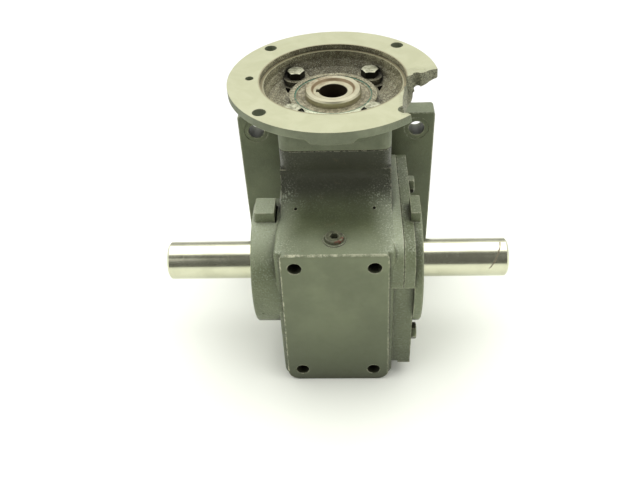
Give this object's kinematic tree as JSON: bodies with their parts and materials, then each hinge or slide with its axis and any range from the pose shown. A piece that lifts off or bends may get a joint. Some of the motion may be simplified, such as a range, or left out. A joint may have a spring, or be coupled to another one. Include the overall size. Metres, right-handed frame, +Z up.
{
  "type": "right-angle worm gear reducer",
  "caption": "Right-angle worm gear reducer with a round motor flange, hollow input quill, double-ended output shaft, front pad and back mounting plate.",
  "frame": {"origin": "centre of the motor register on the top face of the input flange", "axes": "+X along the output shaft, -Y the front with the mounting pad, +Z up along the worm, out of the input flange"},
  "size_m": [0.282, 0.1935, 0.232],
  "materials": {
    "casting_paint": "grey-green satin enamel over a rough iron casting",
    "flange_iron": "machined face, painted or rough cast elsewhere",
    "green_seal": "green lip seal",
    "black_seal": "black lip seal",
    "gasket_paper": "dark gasket sheet",
    "dark_screws": "black oxide, worn light on the head",
    "worm_steel": "ground steel with a little rust",
    "shaft_steel": "bright ground steel",
    "bearing_steel": "polished bearing steel",
    "cage_steel": "pressed steel cage",
    "spring_steel": "blued spring steel",
    "hub_iron": "turned iron",
    "wheel_bronze": "machined bronze",
    "plug_iron": "painted pipe plug, worn"
  },
  "bodies": {
    "case": {"housing": "casting_paint", "input_flange": "flange_iron", "input_seal": "green_seal", "flange_gasket": "gasket_paper", "flange_bolts": "dark_screws", "upper_outer_ring": "bearing_steel", "lower_outer_ring": "bearing_steel", "end_cap": "casting_paint", "end_cap_gasket": "gasket_paper", "end_cap_screws": "dark_screws", "left_cup": "bearing_steel", "right_cup": "bearing_steel", "left_output_seal": "black_seal", "right_output_seal": "black_seal", "side_cover": "casting_paint", "cover_gasket": "gasket_paper", "cover_bolts": "casting_paint", "back_plate": "casting_paint", "plate_screws": "dark_screws", "filler_plug": "plug_iron", "drain_plug": "plug_iron"},
    "worm": {"worm_shaft": "worm_steel", "upper_inner_ring": "bearing_steel", "lower_inner_ring": "bearing_steel", "upper_retaining_ring": "spring_steel", "lower_retaining_ring": "spring_steel"},
    "upper_ball_set": {"upper_balls": "bearing_steel", "upper_cage": "cage_steel"},
    "lower_ball_set": {"lower_balls": "bearing_steel", "lower_cage": "cage_steel"},
    "output": {"output_shaft": "shaft_steel", "wheel_key": "shaft_steel", "wheel_hub": "hub_iron", "worm_wheel": "wheel_bronze", "rim_screws": "dark_screws", "shaft_spacer": "shaft_steel", "left_cone": "bearing_steel", "right_cone": "bearing_steel"},
    "left_roller_set": {"left_rollers": "bearing_steel", "left_cage": "cage_steel"},
    "right_roller_set": {"right_rollers": "bearing_steel", "right_cage": "cage_steel"}
  },
  "joints": [
    {"name": "worm_spin", "type": "hinge", "parent": "case", "child": "worm", "pos_m": [0, 0, -0.1], "axis": [0, 0, 1], "continuous": true},
    {"name": "output_spin", "type": "hinge", "parent": "case", "child": "output", "pos_m": [0, -0.05715, -0.1392], "axis": [1, 0, 0], "continuous": true},
    {"name": "upper_ball_set_spin", "type": "hinge", "parent": "case", "child": "upper_ball_set", "pos_m": [0, 0, -0.052], "axis": [0, 0, 1], "continuous": true},
    {"name": "lower_ball_set_spin", "type": "hinge", "parent": "case", "child": "lower_ball_set", "pos_m": [0, 0, -0.1945], "axis": [0, 0, 1], "continuous": true},
    {"name": "left_roller_set_spin", "type": "hinge", "parent": "case", "child": "left_roller_set", "pos_m": [-0.049, -0.05715, -0.1392], "axis": [1, 0, 0], "continuous": true},
    {"name": "right_roller_set_spin", "type": "hinge", "parent": "case", "child": "right_roller_set", "pos_m": [0.049, -0.05715, -0.1392], "axis": [1, 0, 0], "continuous": true}
  ],
  "couplings": [
    {"joint": "output_spin", "follows": "worm_spin", "ratio": -0.033333},
    {"joint": "upper_ball_set_spin", "follows": "worm_spin", "ratio": 0.4434},
    {"joint": "lower_ball_set_spin", "follows": "worm_spin", "ratio": 0.3969},
    {"joint": "left_roller_set_spin", "follows": "worm_spin", "ratio": -0.014205},
    {"joint": "right_roller_set_spin", "follows": "worm_spin", "ratio": -0.014205}
  ]
}
